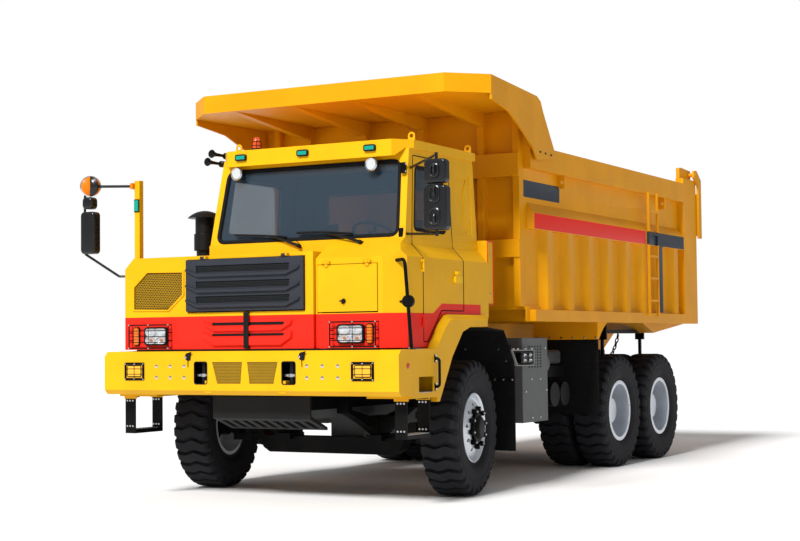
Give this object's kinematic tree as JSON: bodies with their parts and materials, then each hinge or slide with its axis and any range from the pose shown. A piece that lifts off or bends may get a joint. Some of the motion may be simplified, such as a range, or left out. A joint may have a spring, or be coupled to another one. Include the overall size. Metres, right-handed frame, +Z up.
{
  "type": "mining dump truck",
  "caption": "Wide off-road mining dump truck with an offset cab, tipping rock body under a canopy, twin hoist cylinders and twin-tyre rear bogie.",
  "frame": {"origin": "on the ground under the centre of the truck's overall length, on its centre line", "axes": "+X towards the truck's left side, +Y towards its tail, +Z up; the truck faces -Y"},
  "size_m": [4.145, 9, 4.277],
  "materials": {
    "yellow_paint": "gloss industrial yellow",
    "black_paint": "semi-gloss black",
    "grey_paint": "satin dark grey",
    "silver_paint": "satin silver rim paint",
    "black_plastic": "grained black",
    "lamp_lens": "clear",
    "cab_pane": "lightly tinted",
    "seat_cloth": "woven dark grey",
    "tyre_rubber": "matt rubber",
    "flap_rubber": "matt rubber",
    "hoist_chrome": "polished rod"
  },
  "bodies": {
    "chassis": {"frame_rails": "black_paint", "front_bumper": "yellow_paint", "lamps": "lamp_lens", "front_axle_beam": "black_paint", "suspension": "black_paint", "engine_and_gearbox": "grey_paint", "radiator": "black_paint", "radiator_guard": "grey_paint", "prop_shafts": "black_paint", "rear_axles": "black_paint", "hood_shell": "yellow_paint", "cab_floor": "yellow_paint", "cab_front": "yellow_paint", "cab_sides": "yellow_paint", "cab_rear_wall": "yellow_paint", "cab_glass": "cab_pane", "roof_cap": "yellow_paint", "seats": "seat_cloth", "dashboard": "black_plastic", "steering_wheel": "black_plastic", "roof_lights": "black_plastic", "handrails": "black_paint", "mirrors": "black_plastic", "air_intake": "black_plastic", "fenders": "yellow_paint", "front_mudguards": "flap_rubber", "front_steps": "black_paint", "exhaust_box": "grey_paint", "air_tanks": "black_paint", "fuel_tank": "grey_paint"},
    "bed": {"bed_floor": "yellow_paint", "bed_sills": "yellow_paint", "bed_side_left": "yellow_paint", "bed_side_right": "yellow_paint", "bed_front_wall": "yellow_paint", "bed_canopy": "yellow_paint", "bed_mudguards": "flap_rubber", "rock_ejectors": "black_paint"},
    "tailgate": {"tailgate": "yellow_paint"},
    "steer_left": {"knuckle_left": "black_paint"},
    "steer_right": {"knuckle_right": "black_paint"},
    "tie_rod": {"tie_rod": "black_paint"},
    "door": {"cab_door": "yellow_paint", "door_glass": "cab_pane"},
    "grille_lid": {"grille_lid": "black_plastic"},
    "front_hatch": {"front_hatch": "yellow_paint"},
    "hoist_barrels": {"hoist_barrels": "black_paint"},
    "hoist_rods": {"hoist_rods": "hoist_chrome"},
    "wheel_front_left": {"tyre_front_left": "tyre_rubber", "rim_front_left": "silver_paint"},
    "wheel_front_right": {"tyre_front_right": "tyre_rubber", "rim_front_right": "silver_paint"},
    "wheels_rear_left_1": {"tyres_rear_left_1": "tyre_rubber", "rims_rear_left_1": "silver_paint"},
    "wheels_rear_right_1": {"tyres_rear_right_1": "tyre_rubber", "rims_rear_right_1": "silver_paint"},
    "wheels_rear_left_2": {"tyres_rear_left_2": "tyre_rubber", "rims_rear_left_2": "silver_paint"},
    "wheels_rear_right_2": {"tyres_rear_right_2": "tyre_rubber", "rims_rear_right_2": "silver_paint"}
  },
  "joints": [
    {"name": "steer_left", "type": "hinge", "parent": "chassis", "child": "steer_left", "pos_m": [1.08, -2.8, 0.685], "axis": [0, 0, 1], "range_deg": [-45.4, 30.6]},
    {"name": "steer_right", "type": "hinge", "parent": "chassis", "child": "steer_right", "pos_m": [-1.08, -2.8, 0.685], "axis": [0, 0, 1], "range_deg": [-45.4, 30.6]},
    {"name": "tie_rod_turn", "type": "hinge", "parent": "steer_left", "child": "tie_rod", "pos_m": [1.00169, -2.50765, 0.4745], "axis": [0, 0, 1], "range_deg": [-30.6, 45.4]},
    {"name": "wheel_front_left_spin", "type": "hinge", "parent": "steer_left", "child": "wheel_front_left", "pos_m": [1.45485, -2.75131, 0.685], "axis": [0.9917, 0.1288, 0], "continuous": true},
    {"name": "wheel_front_right_spin", "type": "hinge", "parent": "steer_right", "child": "wheel_front_right", "pos_m": [-1.45485, -2.84869, 0.685], "axis": [0.9917, 0.1288, 0], "continuous": true},
    {"name": "wheels_rear_left_1_spin", "type": "hinge", "parent": "chassis", "child": "wheels_rear_left_1", "pos_m": [1.246, 1.325, 0.685], "axis": [1, 0, 0], "continuous": true},
    {"name": "wheels_rear_right_1_spin", "type": "hinge", "parent": "chassis", "child": "wheels_rear_right_1", "pos_m": [-1.246, 1.325, 0.685], "axis": [1, 0, 0], "continuous": true},
    {"name": "wheels_rear_left_2_spin", "type": "hinge", "parent": "chassis", "child": "wheels_rear_left_2", "pos_m": [1.246, 2.798, 0.685], "axis": [1, 0, 0], "continuous": true},
    {"name": "wheels_rear_right_2_spin", "type": "hinge", "parent": "chassis", "child": "wheels_rear_right_2", "pos_m": [-1.246, 2.798, 0.685], "axis": [1, 0, 0], "continuous": true},
    {"name": "bed_tip", "type": "hinge", "parent": "chassis", "child": "bed", "pos_m": [0, 3.68, 1.35], "axis": [-1, 0, 0], "range_deg": [0, 48]},
    {"name": "tailgate_swing", "type": "hinge", "parent": "bed", "child": "tailgate", "pos_m": [0, 4.26, 3.862], "axis": [1, 0, 0], "range_deg": [0, 60]},
    {"name": "hoist_lift", "type": "hinge", "parent": "chassis", "child": "hoist_barrels", "pos_m": [0, -0.1, 0.79], "axis": [1, 0, 0], "range_deg": [0, 15.7]},
    {"name": "hoist_extend", "type": "slide", "parent": "hoist_barrels", "child": "hoist_rods", "axis": [0, 0.933, 0.3599], "range_m": [0, 1.0985]},
    {"name": "door_open", "type": "hinge", "parent": "chassis", "child": "door", "pos_m": [1.634, -3.835, 1.9], "axis": [0, 0, -1], "range_deg": [0, 75]},
    {"name": "grille_open", "type": "hinge", "parent": "chassis", "child": "grille_lid", "pos_m": [0, -4.342, 2.417], "axis": [-1, 0, 0], "range_deg": [0, 70]},
    {"name": "hatch_open", "type": "hinge", "parent": "chassis", "child": "front_hatch", "pos_m": [1.035, -4.282, 2.322], "axis": [-1, 0, 0], "range_deg": [0, 75]}
  ],
  "couplings": [
    {"joint": "steer_right", "follows": "steer_left", "ratio": 1},
    {"joint": "tie_rod_turn", "follows": "steer_left", "ratio": -1},
    {"joint": "hoist_lift", "follows": "bed_tip", "ratio": 0.325},
    {"joint": "hoist_extend", "follows": "bed_tip", "m_per_rad": 1.31}
  ]
}
